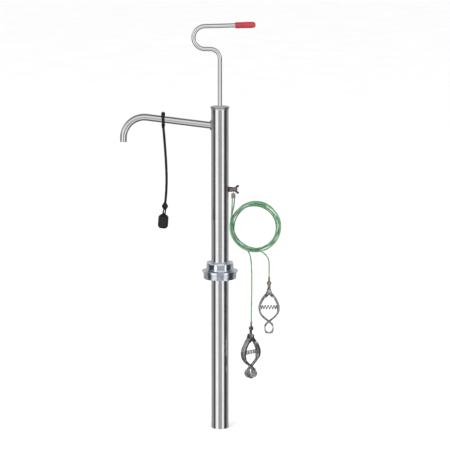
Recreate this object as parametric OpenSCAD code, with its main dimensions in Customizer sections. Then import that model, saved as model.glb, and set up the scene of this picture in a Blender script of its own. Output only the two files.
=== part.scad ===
// Stainless hand-lift drum pump with a bung adapter, a capped spout and two grounding leads.
// Upright, +Z along the pump tube, in millimetres. The origin is on the tube's axis, at the
// underside of the bung adapter's shoulder, where the pump seats on a drum.

/* [Pump tube] */
// Outside diameter of the pump tube
tube_d = 31.75; // [31:0.05:32]
// Wall thickness of the pump tube
tube_wall = 1.65; // [1.2:0.05:2]
// Height of the tube's top above the bung seat
tube_above = 301; // [295:1:320]
// Depth of the tube's foot below the bung seat
tube_below = 291.5; // [280:0.5:600]
// Diameter of the top cap's brim
cap_d = 35; // [34:0.5:38]
// Height of the top cap above the tube
cap_h = 5; // [4:0.5:8]

/* [Plunger and handle] */
// Diameter of the plunger rod
rod_d = 7.94; // [7.5:0.02:8.2]
// Height where the rod leaves the vertical, plunger down
neck_z = 393; // [360:1:420]
// Centreline radius of the first bend
neck_bend_r = 17.5; // [14:0.5:20]
// Centreline radius of the U bend
crook_r = 20.6; // [18:0.1:26]
// Distance of the U bend's centre left of the pump axis
crook_x = 27; // [24:0.5:30]
// Slope of the grip bar, in degrees
bar_rise = 1.6; // [0:0.2:4]
// Where the grip starts, right of the pump axis
grip_x = 28; // [20:1:40]
// Length of the grip
grip_len = 37; // [30:1:60]
// Diameter of the grip
grip_d = 11.5; // [10.5:0.5:14]

/* [Spout] */
// Outside diameter of the spout pipe
spout_d = 12.7; // [12:0.1:13]
// Wall thickness of the spout pipe
spout_wall = 1.2; // [0.8:0.1:1.5]
// Height where the spout's axis leaves the tube's wall
spout_z = 271.7; // [262:0.1:275]
// Upward slope of the spout, in degrees
spout_rise = 7.2; // [0:0.2:12]
// Distance of the outlet's axis from the pump axis
spout_reach = 175; // [150:1:200]
// Centreline radius of the spout's bend
spout_bend_r = 38.1; // [30:0.1:42]
// Straight length at the outlet
spout_tip = 7; // [5:0.5:20]

/* [Bung adapter] */
// Major diameter of the bung thread
bung_d = 60.3; // [60:0.1:63]
// Length of the bung thread
bung_len = 10.5; // [8:0.5:16]
// Diameter of the shoulder that seats on the drum
seat_d = 62.6; // [62:0.1:65]
// Diameter of the flange's lip
flange_d = 66; // [65:0.5:70]
// Height of the flange's top above the bung seat
flange_h = 4.4; // [4:0.1:6]
// Width of the eight-sided gland nut across its corners
nut_corners = 50.4; // [46:0.1:52]
// Height of the gland nut's top above the bung seat
nut_top = 19.2; // [18.5:0.1:24]

/* [Grounding stud] */
// Height of the grounding stud
stud_z = 154; // [150:1:160]
// Diameter of the grounding stud
stud_d = 4.8; // [4.5:0.1:5]
// Distance of the stud's end from the pump axis
stud_reach = 32; // [31:0.5:36]

/* [Grounding leads] */
// Diameter of a coated wire
wire_d = 2.5; // [2:0.1:2.6]
// Outer radius of the wire coils
coil_r = 48; // [48:0.5:49]
// Radial thickness of the wire coils
coil_band = 12; // [10:0.5:14]

/* [Clamps] */
// Thickness of a clamp arm's strip
strip = 1.2; // [1:0.1:1.4]
// Width of a clamp arm
arm_w = 11; // [10.5:0.5:12]
// Diameter of the round jaw plates
jaw_d = 16; // [14:0.5:17]
// Turn of the lower clamp about its lead, in degrees
lower_turn = 38; // [0:1:60]

/* [Tether and spout cap] */
// Diameter of the tether's strand
tether_d = 4.6; // [4:0.1:5]
// Distance of the tether's loop from the pump axis
tether_x = 102.7; // [95:0.1:110]
// Outside diameter of the spout cap
plug_d = 18; // [17:0.5:20]
// Height of the spout cap
plug_h = 27; // [24:1:30]

/* [Hidden] */
$fn = 64;
eps = 0.01;
run_fit = 0.05;
gap = 0.1;

tube_r = tube_d / 2;
bore_r = tube_r - tube_wall;
rod_r = rod_d / 2;
spout_r = spout_d / 2;
nut_corner_r = nut_corners / 2;

// Foot valve
foot_z = 1.5 - tube_below;
foot_h = 33;
foot_inlet_r = 6.5;
foot_inlet_h = 8;
foot_room_r = 11.5;
ball_r = 8.5;
ball_gap = 0.02;
ball_z = foot_z + foot_inlet_h + sqrt(ball_r * ball_r - foot_inlet_r * foot_inlet_r) + ball_gap;
foot_pin_r = 1.2;
foot_pin_z = foot_z + 27;

// Piston
piston_z = foot_z + foot_h + 2;
piston_h = 18;
piston_r = bore_r - 3 * gap;
seal_h = 6;
seal_z = piston_z + 6;
seal_seat_r = 11.8;
port_r = 2;
port_circle = 8.6;
ports = 6;
disc_h = 1.6;
disc_lift = 3;
disc_r = 11.6;
disc_z = piston_z + piston_h + run_fit;
collar_z = disc_z + disc_h + disc_lift + gap;
collar_h = 4;
collar_r = 7;
piston_nut_h = 5;
piston_nut_r = 7.2;
rod_foot_z = piston_z - piston_nut_h - gap;

// Top cap and its bushing
cap_plug_h = 9;
brim_t = 1.6;
bushing_r = 6;
bushing_z = tube_above - 12;
bushing_h = 16.6;

// Height of the cuts that fit the spout and its weld to the tube
joint_cut_h = 60;

// Thickness of the grip's vinyl in front of the bar's end
grip_tip_t = 3;

// Flange and gland
lip_t = 1.8;
adapter_bore_r = tube_r + run_fit + eps;
gland_neck_r = 19.4;
gland_neck_top = 16;
pocket_r = 18.4;
pocket_z = 9;
packing_h = 5;
nut_wall_top = 17;
nut_hole_r = tube_r + 0.35;
nut_turn = 27.5;

// Parts on the grounding stud, outwards along +X
washer_r = 5;
lock_r = 4.3;
washer_t = 2;
stud_nut_t = 4.5;
lock_t = 1.2;
tongue_t = 0.8;
washer_x = tube_r + eps;
stud_nut_x = washer_x + washer_t;
lock_x = stud_nut_x + stud_nut_t;
tongue_x = lock_x + lock_t;
wing_x = tongue_x + 2 * tongue_t;
barrel_r = 1.95;
barrel_h = 8.5;
barrel_z = stud_z - 16;
hex_corners = 9.2;

// Grounding leads: the routes' points, in the order that a wire runs from the stud to its clamp
coil_centre = [tube_r + 0.33 + coil_r, 0, 84];
coil_layer = 11;
lead_start_x = [tongue_x + tongue_t - 2, tongue_x + tongue_t + 2];
lead_route = [
    [[22.4, 0, 138], [22.4, -0.2, 134], [22.2, -1.6, 127], [21.8, -4, 119], [21, -6.8, 111],
     [20.2, -8.8, 103], [19.4, -9.6, 95]],
    [[26.4, 0, 138], [26.4, 0.2, 134], [25.8, 1.6, 127], [24.6, 4, 119], [22.8, 6.8, 111],
     [21.2, 8.8, 103], [20, 9.6, 95]],
];
tail_route = [
    [[66, -1.4, 41], [74, -1.4, 39.5], [81, -1.4, 35.5], [86.5, -1.4, 29], [89.5, -1.4, 21],
     [90, -1.4, 12], [90, -1.4, 2], [90, -1.4, -8]],
    [[47.5, 1.4, 43], [52, 1.4, 38], [55, 1.4, 31], [56.7, 1.4, 23], [57.5, 1.4, 14],
     [58, 1.4, 2], [58.2, 1.4, -14], [58.2, 1.4, -32], [58, 1.4, -50], [57.8, 1.4, -66],
     [57.5, 1.4, -80], [57.5, 1.4, -93]],
];
wire_end = [[90, -1.4, -8], [57.5, 1.4, -93]];

// Clamp, in its own frame: the wire's end is at the origin and the jaws point down
lug_barrel_h = 8;
lug_hole_z = -12;
pivot_z = -26;
lug_t = 1.2;
link_t = 1.5;
link_y = (lug_t + link_t) / 2;
pin_r = 1.5;
ear_t = 1;
window_w = 6.4;
neck_w = 5.2;
spring_r = 4;
spring_wire = 1.4;
spring_turns = 8;
spring_half = 16.6;
spring_z = -31;
jaw_z = -71;
// Centreline of the left arm from the pivot to the jaw's lip, as x and z from the pivot
arm_line = [
    [-5.5, -5.5], [-9, -9.5], [-13, -15], [-16.6, -22], [-18.6, -28], [-19, -33], [-18, -39],
    [-15, -45], [-10, -50.5], [-4, -55.5], [1.5, -60], [5, -63.5], [6.6, -67.5], [6.8, -72],
    [5.6, -75.8], [3.2, -77.8], [0.2, -78.2],
];

// Tether: the route's points from the underside of its loop to the bead
tether_route = [
    [-102.7, 0, 273], [-102.3, 0, 265], [-101.2, 0, 252], [-100, 0, 236], [-98.8, 0, 218],
    [-97.8, 0, 200], [-97.2, 0, 182], [-97.2, 0, 166], [-97.8, 0, 150], [-98.8, 0, 138],
    [-99.8, 0, 128],
];
bead_r = 5.8;
bead_centre = [-100.3, 0, 123];
plug_x = -102.5;
plug_top = 108.5;
plug_bore_r = spout_r - 0.05;

steel = [0.74, 0.75, 0.77];
zinc = [0.70, 0.74, 0.80];
ptfe = [0.93, 0.93, 0.90];
rubber = [0.08, 0.08, 0.09];
coated_green = [0.30, 0.62, 0.40];
copper = [0.72, 0.50, 0.38];

// ---------- Shapes that repeat ----------

// A straight tube or ring from z to z + h.
module ring(outer_r, inner_r, z, h) {
    translate([0, 0, z]) difference() {
        cylinder(r = outer_r, h = h);
        translate([0, 0, -1]) cylinder(r = inner_r, h = h + 2);
    }
}

// A flat part threaded on the grounding stud, between x and x + t.
module on_stud(x) {
    translate([x, 0, stud_z]) rotate([0, 90, 0]) children();
}

// A section swept round a bend: its centre in the XZ plane, its start angle and how far it turns.
module bent_bar(centre, bend_r, start, turn) {
    translate([centre[0], 0, centre[1]]) rotate([90, 0, 0]) rotate([0, 0, start])
        rotate_extrude(angle = turn) translate([bend_r, 0]) children();
}

// A hair-thin collar that joins a straight bar to a bend of an odd angle.
module seam(r) {
    cylinder(r = r + 0.03, h = 1.2, center = true);
}

function unit(v) = v / norm(v);

// A point on the Catmull-Rom curve between b and c.
function between(a, b, c, d, t) =
    0.5 * (2 * b + (c - a) * t + (2 * a - 5 * b + 4 * c - d) * t * t
    + (3 * b - a - 3 * c + d) * t * t * t);

// The hand-chosen points joined by one smooth curve, with steps points for each of them.
function smooth(points, steps) = let (last = len(points) - 1) [
    for (i = [0 : last - 1]) for (s = [0 : steps - 1])
        between(points[max(i - 1, 0)], points[i], points[i + 1], points[min(i + 2, last)], s / steps),
    points[last]
];

function heading(points, i) =
    unit(points[min(i + 1, len(points) - 1)] - points[max(i - 1, 0)]);

// The ring of points round one point of a route; side is a direction the route never takes.
function hoop(points, i, r, sides, side) = let (
    ahead = heading(points, i),
    across = unit(cross(side, ahead)),
    up = cross(ahead, across)
) [for (k = [0 : sides - 1]) points[i] + r * (cos(360 * k / sides) * across + sin(360 * k / sides) * up)];

// A closed round tube swept along a route's points.
module sweep(points, diameter, sides, side = [0, 1, 0]) {
    rings = len(points);
    corners = [for (i = [0 : rings - 1]) each hoop(points, i, diameter / 2, sides, side)];
    walls = [for (i = [0 : rings - 2]) for (k = [0 : sides - 1]) let (n = (k + 1) % sides)
        [i * sides + k, (i + 1) * sides + k, (i + 1) * sides + n, i * sides + n]];
    start = [for (k = [0 : sides - 1]) k];
    end = [for (k = [sides - 1 : -1 : 0]) (rings - 1) * sides + k];
    polyhedron(points = corners, faces = concat(walls, [start, end]));
}

// ---------- Bung adapter and gland ----------

module bung_adapter() {
    color(zinc) difference() {
        union() {
            translate([0, 0, -bung_len]) cylinder(d = bung_d, h = bung_len + eps);
            cylinder(d = seat_d, h = flange_h);
            translate([0, 0, flange_h - lip_t]) cylinder(d = flange_d, h = lip_t);
            cylinder(r = gland_neck_r, h = gland_neck_top);
        }
        translate([0, 0, -bung_len - 1]) cylinder(r = adapter_bore_r, h = bung_len + gland_neck_top + 2);
        translate([0, 0, pocket_z]) cylinder(r = pocket_r, h = gland_neck_top);
    }
}

module gland_packing() {
    color(rubber) ring(pocket_r - run_fit, tube_r + 0.03, pocket_z + eps, packing_h);
}

module gland_nut() {
    color(zinc) difference() {
        translate([0, 0, flange_h + gap]) rotate([0, 0, nut_turn])
            cylinder(r = nut_corner_r, h = nut_top - flange_h - gap, $fn = 8);
        translate([0, 0, flange_h - 1]) cylinder(r = gland_neck_r + run_fit, h = nut_wall_top - flange_h + 1);
        cylinder(r = nut_hole_r, h = nut_top + 1);
    }
    color(zinc)
        ring(pocket_r - gap, nut_hole_r, pocket_z + packing_h + gap, nut_wall_top - pocket_z - packing_h);
}

// ---------- Tube, cap and spout ----------

module spout_axis() {
    translate([-tube_r, 0, spout_z]) rotate([0, -90 + spout_rise, 0]) children();
}

module pump_tube() {
    color(steel) difference() {
        ring(tube_r, bore_r, -tube_below, tube_below + tube_above);
        spout_axis() translate([0, 0, -tube_r]) cylinder(r = spout_r, h = 2 * tube_r);
    }
}

module top_cap() {
    color(steel) difference() {
        union() {
            translate([0, 0, tube_above + cap_h - brim_t]) cylinder(d = cap_d, h = brim_t);
            translate([0, 0, tube_above]) cylinder(d1 = tube_d + 0.8, d2 = cap_d, h = cap_h - brim_t);
            translate([0, 0, tube_above - cap_plug_h]) cylinder(r = bore_r, h = cap_plug_h + eps);
        }
        translate([0, 0, bushing_z - 1]) cylinder(r = bushing_r, h = bushing_h + cap_h + 2);
    }
}

module rod_bushing() {
    color(ptfe) ring(bushing_r, rod_r + run_fit, bushing_z, bushing_h);
}

// The spout's run as a solid of radius r, going past both of its ends by more.
module spout_run(r, more) {
    bend_centre_x = spout_bend_r - spout_reach;
    straight = (-tube_r - bend_centre_x - spout_bend_r * sin(spout_rise)) / cos(spout_rise);
    bend_centre_z = spout_z + straight * sin(spout_rise) - spout_bend_r * cos(spout_rise);
    spout_axis() {
        translate([0, 0, -tube_r]) cylinder(r = r, h = straight + tube_r);
        translate([0, 0, straight]) seam(r);
    }
    bent_bar([bend_centre_x, bend_centre_z], spout_bend_r, 180, -90 - spout_rise) circle(r = r);
    translate([-spout_reach, 0, bend_centre_z - spout_tip - more]) cylinder(r = r, h = spout_tip + more);
}

module spout() {
    color(steel) difference() {
        spout_run(spout_r, 0);
        spout_run(spout_r - spout_wall, 1);
        translate([0, 0, spout_z - joint_cut_h / 2]) cylinder(r = bore_r, h = joint_cut_h);
        translate([0, -tube_r, spout_z - joint_cut_h / 2]) cube([tube_d, tube_d, joint_cut_h]);
    }
}

// A fillet that narrows from the tube's wall along the spout.
module spout_weld() {
    inside = 4;
    reach = 4.5;
    flare = 4.5;
    lip = 0.3;
    color(steel) difference() {
        spout_axis() translate([0, 0, -inside])
            cylinder(r1 = spout_r + flare, r2 = spout_r + lip, h = inside + reach);
        spout_axis() translate([0, 0, -tube_r]) cylinder(r = spout_r, h = 2 * tube_r);
        translate([0, 0, spout_z - joint_cut_h / 2]) cylinder(r = tube_r, h = joint_cut_h);
    }
}

// ---------- Foot valve ----------

module foot_valve_body() {
    color(steel) difference() {
        translate([0, 0, foot_z]) cylinder(r = bore_r, h = foot_h);
        translate([0, 0, foot_z - 1]) cylinder(r = foot_inlet_r, h = foot_h);
        translate([0, 0, foot_z + foot_inlet_h]) cylinder(r = foot_room_r, h = foot_h);
        foot_valve_pin();
    }
}

module foot_valve_pin() {
    color(steel) translate([0, 0, foot_pin_z]) rotate([90, 0, 0])
        cylinder(r = foot_pin_r, h = 2 * bore_r - 1, center = true);
}

module foot_valve_ball() {
    color(ptfe) translate([0, 0, ball_z]) sphere(r = ball_r);
}

// ---------- Plunger ----------

module plunger_rod() {
    crook_z = neck_z + neck_bend_r + crook_r;
    bar_end = grip_x + grip_len - grip_tip_t;
    color(steel) {
        translate([0, 0, rod_foot_z]) cylinder(r = rod_r, h = neck_z - rod_foot_z);
        bent_bar([-neck_bend_r, neck_z], neck_bend_r, 0, 90) circle(r = rod_r);
        translate([-neck_bend_r, 0, neck_z + neck_bend_r]) rotate([0, -90, 0])
            cylinder(r = rod_r, h = crook_x - neck_bend_r);
        bent_bar([-crook_x, crook_z], crook_r, 270, bar_rise - 180) circle(r = rod_r);
        translate([-crook_x, 0, crook_z]) rotate([0, -bar_rise, 0]) translate([0, 0, crook_r])
            rotate([0, 90, 0]) {
                cylinder(r = rod_r, h = bar_end + crook_x);
                seam(rod_r);
            }
    }
}

// The dipped grip is a sleeve on the bar, closed by a dome at the free end.
module handle_grip() {
    crook_z = neck_z + neck_bend_r + crook_r;
    color([0.78, 0.08, 0.10])
    translate([-crook_x, 0, crook_z]) rotate([0, -bar_rise, 0]) translate([grip_x + crook_x, 0, crook_r])
        rotate([0, 90, 0]) difference() {
            union() {
                cylinder(d = grip_d, h = grip_len - grip_d / 2);
                translate([0, 0, grip_len - grip_d / 2]) sphere(d = grip_d);
            }
            translate([0, 0, -1]) cylinder(r = rod_r, h = grip_len - grip_tip_t + 1);
        }
}

module rod_collar() {
    color(steel) ring(collar_r, rod_r, collar_z, collar_h);
}

module piston_nut() {
    color(steel) difference() {
        translate([0, 0, rod_foot_z]) cylinder(r = piston_nut_r, h = piston_nut_h, $fn = 6);
        translate([0, 0, rod_foot_z - 1]) cylinder(r = rod_r, h = piston_nut_h + 2);
    }
}

module piston_body() {
    color(steel) difference() {
        translate([0, 0, piston_z]) cylinder(r = piston_r, h = piston_h);
        translate([0, 0, piston_z - 1]) cylinder(r = rod_r + run_fit, h = piston_h + 2);
        ring(piston_r + 1, seal_seat_r, seal_z, seal_h);
        for (k = [0 : ports - 1]) rotate([0, 0, 360 * k / ports])
            translate([port_circle, 0, piston_z - 1]) cylinder(r = port_r, h = piston_h + 2);
    }
}

module piston_seal() {
    color(ptfe) ring(bore_r - run_fit, seal_seat_r, seal_z, seal_h);
}

module piston_disc() {
    color(ptfe) ring(disc_r, rod_r + gap, disc_z, disc_h);
}

// ---------- Grounding stud ----------

module ground_stud() {
    color(steel) difference() {
        on_stud(tube_r - 1) cylinder(d = stud_d, h = stud_reach - tube_r + 1);
        translate([0, 0, stud_z - 10]) cylinder(r = tube_r, h = 20);
    }
}

module stud_ring(x, outer_r, t) {
    on_stud(x) difference() {
        cylinder(r = outer_r, h = t);
        translate([0, 0, -1]) cylinder(d = stud_d, h = t + 2);
    }
}

module stud_washer() {
    color([0.38, 0.16, 0.13]) stud_ring(washer_x, washer_r, washer_t);
}

module stud_nut() {
    color(steel) on_stud(stud_nut_x) difference() {
        cylinder(d = hex_corners, h = stud_nut_t, $fn = 6);
        translate([0, 0, -1]) cylinder(d = stud_d, h = stud_nut_t + 2);
    }
}

module lock_washer() {
    color(steel) stud_ring(lock_x, lock_r, lock_t);
}

// Two wings lean outwards from a round hub that turns on the stud.
module wing_nut() {
    hub_r = 4.2;
    hub_h = 4;
    wing_t = 1.4;
    color(steel) on_stud(wing_x + run_fit) rotate([0, 0, 35]) difference() {
        union() {
            cylinder(r = hub_r, h = hub_h);
            for (side = [1, -1]) scale([side, 1, 1]) rotate([90, 0, 0])
                translate([0, 0, -wing_t / 2]) linear_extrude(wing_t) {
                    polygon([[3, 0.6], [6.5, 3.6], [9.8, 6.6], [7.4, 9.2], [3, 4]]);
                    translate([8.2, 7.7]) circle(r = 2.1);
                }
        }
        translate([0, 0, -1]) cylinder(r = stud_d / 2 + run_fit, h = hub_h + 2);
    }
}

// Two terminals lie back to back, so their barrels are on opposite sides.
module ring_terminal(which) {
    eye_r = 4.5;
    barrel_x = lead_start_x[which];
    face_x = tongue_x + which * tongue_t;
    color(copper) difference() {
        union() {
            on_stud(face_x) cylinder(r = eye_r, h = tongue_t);
            translate([face_x, -1.9, barrel_z + barrel_h - 1]) cube([tongue_t, 3.8, 6]);
            translate([barrel_x, 0, barrel_z]) cylinder(r = barrel_r, h = barrel_h);
        }
        on_stud(face_x - 1) cylinder(r = stud_d / 2 + 0.2, h = tongue_t + 2);
    }
}

module ring_terminal_1() ring_terminal(0);
module ring_terminal_2() ring_terminal(1);

// ---------- Grounding wires ----------

module wire_lead(which) {
    color(coated_green) sweep(smooth(lead_route[which], 2), wire_d, 8);
}

module wire_coil(which) {
    color(coated_green) translate([coil_centre[0], which * coil_layer, coil_centre[2]]) rotate([90, 0, 0])
        rotate_extrude() translate([coil_r - coil_band, 0]) square([coil_band, coil_layer]);
}

module wire_tail(which) {
    color(coated_green) sweep(smooth(tail_route[which], 2), wire_d, 8);
}

module wire_lead_1() wire_lead(0);
module wire_coil_1() wire_coil(0);
module wire_tail_1() wire_tail(0);
module wire_lead_2() wire_lead(1);
module wire_coil_2() wire_coil(1);
module wire_tail_2() wire_tail(1);

// ---------- Clamps ----------

// Puts a clamp's part on the end of its wire.
module on_wire(which) {
    translate(wire_end[which]) rotate([0, 0, which * lower_turn]) children();
}

// Puts a part in the arms' frame, whose origin is the middle of the pivot pin.
module at_pivot() {
    translate([0, link_y, pivot_z]) children();
}

module along_y(y, t) {
    translate([0, y + t, 0]) rotate([90, 0, 0]) linear_extrude(t) children();
}

module pin_hole(r) {
    rotate([90, 0, 0]) cylinder(r = r, h = 30, center = true);
}

module clamp_lug(which) {
    color(copper) on_wire(which) difference() {
        union() {
            translate([0, 0, -lug_barrel_h]) cylinder(r = 2, h = lug_barrel_h);
            translate([-1.9, -lug_t / 2, lug_hole_z]) cube([3.8, lug_t, 5]);
            translate([0, 0, lug_hole_z]) along_y(-lug_t / 2, lug_t) circle(r = 4.4);
        }
        translate([0, 0, lug_hole_z]) pin_hole(pin_r);
    }
}

module clamp_screw(which) {
    head_t = 2.2;
    nut_t = 2.4;
    color(steel) on_wire(which) translate([0, 0, lug_hole_z]) {
        along_y(-lug_t / 2 - head_t, head_t) circle(r = 3.4);
        along_y(-lug_t / 2, lug_t + link_t) circle(r = pin_r);
        along_y(lug_t / 2 + link_t, nut_t) circle(r = 3.3, $fn = 6);
    }
}

// A flat link from the lug's screw to the arms' pivot.
module clamp_link(which) {
    eye_r = 3.8;
    color(steel) on_wire(which) difference() {
        union() {
            for (z = [lug_hole_z, pivot_z]) translate([0, 0, z]) along_y(lug_t / 2, link_t) circle(r = eye_r);
            translate([-2.6, lug_t / 2, pivot_z]) cube([5.2, link_t, lug_hole_z - pivot_z]);
        }
        for (z = [lug_hole_z, pivot_z]) translate([0, 0, z]) pin_hole(pin_r);
    }
}

module clamp_pin(which) {
    half = arm_w / 2;
    head_t = 0.9;
    color(steel) on_wire(which) at_pivot() {
        along_y(-half, 2 * half) circle(r = pin_r);
        along_y(-half - head_t, head_t) circle(r = 2.6);
        along_y(half, head_t) circle(r = 2.6);
    }
}

// The strip's outline in the XZ plane: its centreline moved half a thickness to each side.
function strip_edge(side) = [for (i = [0 : len(arm_line) - 1]) let (ahead = heading(arm_line, i))
    arm_line[i] + side * strip / 2 * [-ahead[1], ahead[0]]];

function reversed(list) = [for (i = [len(list) - 1 : -1 : 0]) list[i]];

// A pair of ears, their outer faces w apart, that carry the pivot pin beside the strip's end.
module ears(w) {
    for (y = [-w / 2, w / 2 - ear_t]) along_y(y, ear_t) {
        circle(r = 4);
        rotate([0, 0, -137]) translate([0, -3]) square([11, 6]);
    }
}

// One arm, left of the pivot: its bent side view cut to its outline as seen from the side.
module arm(outline_w, ear_w) {
    difference() {
        union() {
            ears(ear_w);
            intersection() {
                along_y(-10, 20) polygon(concat(strip_edge(1), reversed(strip_edge(-1))));
                translate([-30, 0, 0]) rotate([90, 0, 90]) linear_extrude(60) {
                    for (b = outline_w) translate([-b[2] / 2, b[1]]) square([b[2], b[0] - b[1]]);
                    translate([0, jaw_z]) circle(d = jaw_d);
                }
            }
            translate([-18.6, 0, spring_z]) rotate([0, 90, 0]) cylinder(r = 2.9, h = 4);
        }
        pin_hole(pin_r + run_fit);
    }
}

// The left arm has a window that the right arm's neck passes through.
module clamp_arm_left(which) {
    color(steel) on_wire(which) at_pivot() difference() {
        arm([[0, -68, arm_w]], arm_w);
        translate([-30, -window_w / 2, -63]) cube([60, window_w, 18]);
    }
}

module clamp_arm_right(which) {
    inner_w = arm_w - 2 * ear_t - 0.6;
    color(steel) on_wire(which) at_pivot() mirror([1, 0, 0])
        arm([[0, -9, inner_w], [-9, -44, arm_w], [-44, -68, neck_w]], inner_w);
}

module clamp_spring(which) {
    steps = 12 * spring_turns;
    coil = [for (i = [0 : steps]) let (a = 360 * i / 12)
        [-spring_half + 2 * spring_half * i / steps, spring_r * cos(a), spring_r * sin(a)]];
    color(steel) on_wire(which) at_pivot() translate([0, 0, spring_z])
        sweep(coil, spring_wire, 6, [1, 0, 0]);
}

module clamp_1_lug() clamp_lug(0);
module clamp_1_screw() clamp_screw(0);
module clamp_1_link() clamp_link(0);
module clamp_1_pin() clamp_pin(0);
module clamp_1_arm_left() clamp_arm_left(0);
module clamp_1_arm_right() clamp_arm_right(0);
module clamp_1_spring() clamp_spring(0);
module clamp_2_lug() clamp_lug(1);
module clamp_2_screw() clamp_screw(1);
module clamp_2_link() clamp_link(1);
module clamp_2_pin() clamp_pin(1);
module clamp_2_arm_left() clamp_arm_left(1);
module clamp_2_arm_right() clamp_arm_right(1);
module clamp_2_spring() clamp_spring(1);

// ---------- Tether and spout cap ----------

// The strap's end is looped round the spout.
module tether_loop() {
    along = (tether_x - tube_r) / cos(spout_rise);
    color(rubber) spout_axis() translate([0, 0, along]) rotate_extrude()
        translate([spout_r + tether_d / 2 + 0.05, 0]) circle(d = tether_d);
}

module tether() {
    color(rubber) sweep(smooth(tether_route, 1), tether_d, 10);
}

module tether_bead() {
    color(rubber) translate(bead_centre) sphere(r = bead_r);
}

module spout_cap() {
    shoulder = 3.5;
    color(rubber) translate([plug_x, 0, plug_top - plug_h]) difference() {
        union() {
            cylinder(d1 = plug_d - 3, d2 = plug_d, h = 2);
            translate([0, 0, 2]) cylinder(d = plug_d, h = plug_h - 2 - shoulder);
            translate([0, 0, plug_h - shoulder]) cylinder(d1 = plug_d, d2 = plug_d - 8, h = shoulder);
            translate([0, 0, plug_h - 1]) cylinder(d = tether_d, h = 13);
        }
        translate([0, 0, -1]) cylinder(r = plug_bore_r, h = plug_h - 5);
        translate(bead_centre - [plug_x, 0, plug_top - plug_h]) sphere(r = bead_r);
    }
}

bung_adapter();
gland_packing();
gland_nut();
pump_tube();
top_cap();
rod_bushing();
spout();
spout_weld();
foot_valve_body();
foot_valve_pin();
foot_valve_ball();
plunger_rod();
handle_grip();
rod_collar();
piston_nut();
piston_body();
piston_seal();
piston_disc();
ground_stud();
stud_washer();
stud_nut();
lock_washer();
wing_nut();
ring_terminal_1();
ring_terminal_2();
wire_lead_1();
wire_coil_1();
wire_tail_1();
wire_lead_2();
wire_coil_2();
wire_tail_2();
clamp_1_lug();
clamp_1_screw();
clamp_1_link();
clamp_1_pin();
clamp_1_arm_left();
clamp_1_arm_right();
clamp_1_spring();
clamp_2_lug();
clamp_2_screw();
clamp_2_link();
clamp_2_pin();
clamp_2_arm_left();
clamp_2_arm_right();
clamp_2_spring();
tether_loop();
tether();
tether_bead();
spout_cap();
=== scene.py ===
"""Looks of a stainless hand-lift drum pump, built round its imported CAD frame.

Everything is in metres in the part's own frame: +Z up along the pump tube, the origin on its
axis at the underside of the bung adapter, the spout towards -X and the grounding stud towards +X.
"""

import math

import bmesh
import bpy
import numpy as np
from mathutils import Matrix, Vector


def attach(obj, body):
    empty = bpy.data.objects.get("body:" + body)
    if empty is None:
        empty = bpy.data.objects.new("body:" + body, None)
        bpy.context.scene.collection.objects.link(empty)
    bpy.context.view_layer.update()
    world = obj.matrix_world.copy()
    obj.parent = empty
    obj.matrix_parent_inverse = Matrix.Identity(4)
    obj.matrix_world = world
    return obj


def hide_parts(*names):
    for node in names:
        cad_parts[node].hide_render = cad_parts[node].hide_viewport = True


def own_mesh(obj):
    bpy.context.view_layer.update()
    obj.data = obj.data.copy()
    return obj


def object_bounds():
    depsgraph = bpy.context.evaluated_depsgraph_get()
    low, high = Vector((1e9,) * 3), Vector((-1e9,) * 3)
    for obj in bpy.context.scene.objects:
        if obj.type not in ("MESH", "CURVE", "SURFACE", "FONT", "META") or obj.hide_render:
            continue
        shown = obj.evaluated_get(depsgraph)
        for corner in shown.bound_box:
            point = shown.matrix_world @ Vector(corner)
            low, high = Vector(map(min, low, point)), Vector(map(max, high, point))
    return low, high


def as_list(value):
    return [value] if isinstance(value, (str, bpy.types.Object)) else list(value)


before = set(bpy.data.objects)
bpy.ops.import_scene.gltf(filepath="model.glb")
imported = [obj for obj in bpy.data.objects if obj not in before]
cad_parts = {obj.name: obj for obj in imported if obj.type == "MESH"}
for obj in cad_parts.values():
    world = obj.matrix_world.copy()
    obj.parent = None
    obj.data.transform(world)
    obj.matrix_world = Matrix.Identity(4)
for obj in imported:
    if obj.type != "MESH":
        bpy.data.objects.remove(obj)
CAD_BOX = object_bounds()
SCENE = bpy.context.scene
MM = 0.001

# Sizes that part.scad drives, repeated here in millimetres
TUBE_R = 15.875
ROD_R = 3.97
SPOUT_R = 6.35
SPOUT_Z = 271.7
SPOUT_RISE = math.radians(7.2)
STUD_Z = 154
STUD_R = 2.4
WIRE_D = 2.5
TETHER_D = 4.6
CROOK = Vector((-27, 0, 431.1))
CROOK_R = 20.6
BAR_RISE = math.radians(1.6)
GRIP_X = 28
LOWER_TURN = math.radians(38)


# ---------- Camera ----------

CAMERA_LENS = 206
CAMERA_DISTANCE = 4.7
CAMERA_RISE = math.radians(10)
CAMERA_AIM = Vector((0.0092, 0, 0.0881))


def make_camera():
    data = bpy.data.cameras.new("camera")
    data.lens = CAMERA_LENS
    data.sensor_width = 36
    data.clip_end = 40
    camera = bpy.data.objects.new("camera", data)
    SCENE.collection.objects.link(camera)
    back = Vector((0, -math.cos(CAMERA_RISE), math.sin(CAMERA_RISE)))
    camera.location = CAMERA_AIM + back * CAMERA_DISTANCE
    camera.rotation_euler = (-back).to_track_quat("-Z", "Y").to_euler()
    SCENE.camera = camera


make_camera()


# ---------- Meshes ----------


def add_mesh(name, corners, faces, sharp=38):
    """A mesh piece with outward normals, smooth but for edges sharper than sharp degrees."""
    mesh = bpy.data.meshes.new(name)
    mesh.from_pydata([tuple(c) for c in corners], [], faces)
    work = bmesh.new()
    work.from_mesh(mesh)
    bmesh.ops.remove_doubles(work, verts=work.verts, dist=1e-6)
    bmesh.ops.dissolve_degenerate(work, dist=1e-7, edges=work.edges)
    bmesh.ops.recalc_face_normals(work, faces=work.faces)
    work.to_mesh(mesh)
    work.free()
    mesh.shade_smooth()
    mesh.set_sharp_from_angle(angle=math.radians(sharp))
    piece = bpy.data.objects.new(name, mesh)
    SCENE.collection.objects.link(piece)
    return piece


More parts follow.
